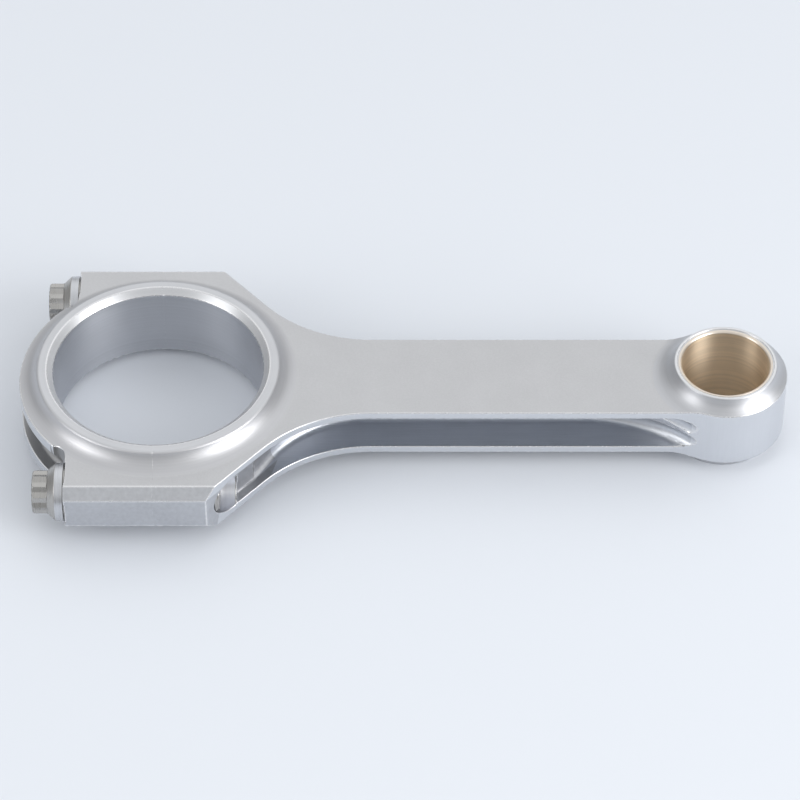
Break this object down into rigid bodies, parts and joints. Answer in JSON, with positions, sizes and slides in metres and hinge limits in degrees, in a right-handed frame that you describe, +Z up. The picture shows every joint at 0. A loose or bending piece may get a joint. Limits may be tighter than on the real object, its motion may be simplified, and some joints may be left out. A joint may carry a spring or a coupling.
{
  "type": "connecting rod",
  "caption": "Steel H-beam connecting rod with a bolted big-end cap, a bronze small-end bush, flanged cap screws and hidden dowel sleeves.",
  "frame": {"origin": "centre of the bounding box's bottom face, as the rod lies on its side faces", "axes": "+X from the big end to the small end, +Z up along the crank-pin axis"},
  "size_m": [0.2066, 0.087, 0.0254],
  "materials": {
    "rod_steel": "satin, machined",
    "cap_steel": "satin, machined",
    "bush_bronze": "honed",
    "screw_steel": "satin",
    "dowel_steel": "ground"
  },
  "bodies": {
    "rod": {"rod": "rod_steel", "wrist_pin_bush": "bush_bronze", "cap_dowel_front": "dowel_steel", "cap_dowel_rear": "dowel_steel"},
    "cap": {"rod_cap": "cap_steel"},
    "front_bolt": {"cap_bolt_front": "screw_steel"},
    "rear_bolt": {"cap_bolt_rear": "screw_steel"}
  },
  "joints": [
    {"name": "cap_slide", "type": "slide", "parent": "rod", "child": "cap", "axis": [-1, 0, 0], "range_m": [0, 0.02286]},
    {"name": "front_bolt_turn", "type": "hinge", "parent": "cap", "child": "front_bolt", "pos_m": [-0.08905, -0.0356, 0.0127], "axis": [-1, 0, 0], "range_deg": [0, 6480]},
    {"name": "rear_bolt_turn", "type": "hinge", "parent": "cap", "child": "rear_bolt", "pos_m": [-0.08905, 0.0356, 0.0127], "axis": [-1, 0, 0], "range_deg": [0, 6480]}
  ],
  "couplings": [
    {"joint": "front_bolt_turn", "follows": "cap_slide", "rad_per_m": 4947.4},
    {"joint": "rear_bolt_turn", "follows": "cap_slide", "rad_per_m": 4947.4}
  ]
}
